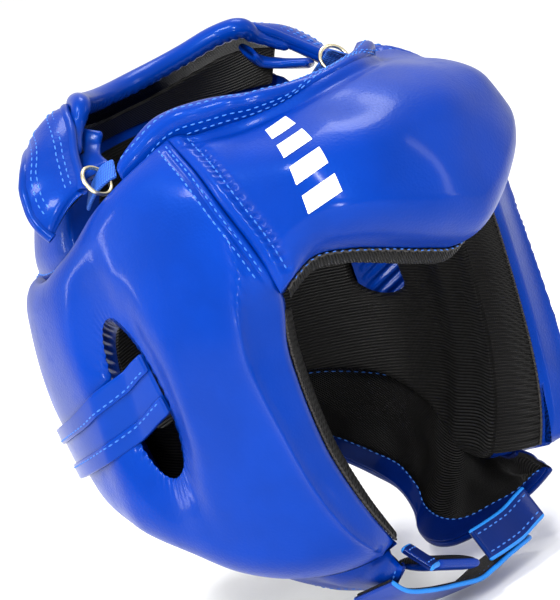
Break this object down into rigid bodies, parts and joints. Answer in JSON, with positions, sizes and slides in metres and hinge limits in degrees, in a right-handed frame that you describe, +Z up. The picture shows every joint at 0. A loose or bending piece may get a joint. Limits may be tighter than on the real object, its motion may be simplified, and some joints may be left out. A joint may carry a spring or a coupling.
{
  "type": "boxing headgear",
  "caption": "Padded boxing headgear with an open face and crown, banded ear openings, a laced crown yoke, and hook-and-loop chin and nape straps.",
  "frame": {"origin": "middle of the wearer's head, level with the ears", "axes": "-Y is the way the face looks, +X is the wearer's left, +Z is up"},
  "size_m": [0.214, 0.2347, 0.2385],
  "materials": {
    "blue_leather": "semi-gloss coated leather with a fine pebble grain",
    "grey_foam": "matte closed-cell foam",
    "black_mesh": "matte ribbed mesh",
    "blue_webbing": "flat woven webbing",
    "brass_wire": "polished wire",
    "hook_tape": "matte hook-and-loop tape"
  },
  "bodies": {
    "shell": {"forehead_cover": "blue_leather", "forehead_foam": "grey_foam", "forehead_lining": "black_mesh", "right_side_cover": "blue_leather", "right_side_foam": "grey_foam", "right_side_lining": "black_mesh", "left_side_cover": "blue_leather", "left_side_foam": "grey_foam", "left_side_lining": "black_mesh", "back_cover": "blue_leather", "back_foam": "grey_foam", "back_lining": "black_mesh", "nape_cover": "blue_leather", "nape_foam": "grey_foam", "nape_lining": "black_mesh", "right_ear_rim": "blue_leather", "right_face_edge": "black_mesh", "left_ear_rim": "blue_leather", "left_face_edge": "black_mesh", "brow_edge": "black_mesh", "crown_yoke": "blue_leather", "crown_binding": "blue_leather", "yoke_lining": "black_mesh", "crown_flap": "blue_leather", "right_crown_lace": "blue_webbing", "right_lace_ring": "brass_wire", "right_crown_petal": "blue_leather", "right_ear_band": "blue_leather", "right_ear_band_upper_fold": "blue_leather", "right_ear_band_lower_fold": "blue_leather", "left_crown_lace": "blue_webbing", "left_lace_ring": "brass_wire", "left_crown_petal": "blue_leather", "left_ear_band": "blue_leather", "left_ear_band_upper_fold": "blue_leather", "left_ear_band_lower_fold": "blue_leather", "nape_loop_pad": "hook_tape", "right_neck_flap": "blue_leather", "left_neck_flap": "blue_leather", "left_chin_tab": "blue_leather", "right_chin_tab": "blue_leather"},
    "chin_strap": {"chin_strap": "hook_tape", "chin_pad": "blue_leather"},
    "nape_strap": {"nape_strap": "blue_leather"}
  },
  "joints": [
    {"name": "chin_strap_release", "type": "hinge", "parent": "shell", "child": "chin_strap", "pos_m": [-0.056, -0.066, -0.092], "axis": [0, 1, 0], "range_deg": [0, 100]},
    {"name": "nape_strap_release", "type": "hinge", "parent": "shell", "child": "nape_strap", "pos_m": [-0.0228, 0.1008, -0.033], "axis": [0, 0, 1], "range_deg": [0, 110]}
  ]
}
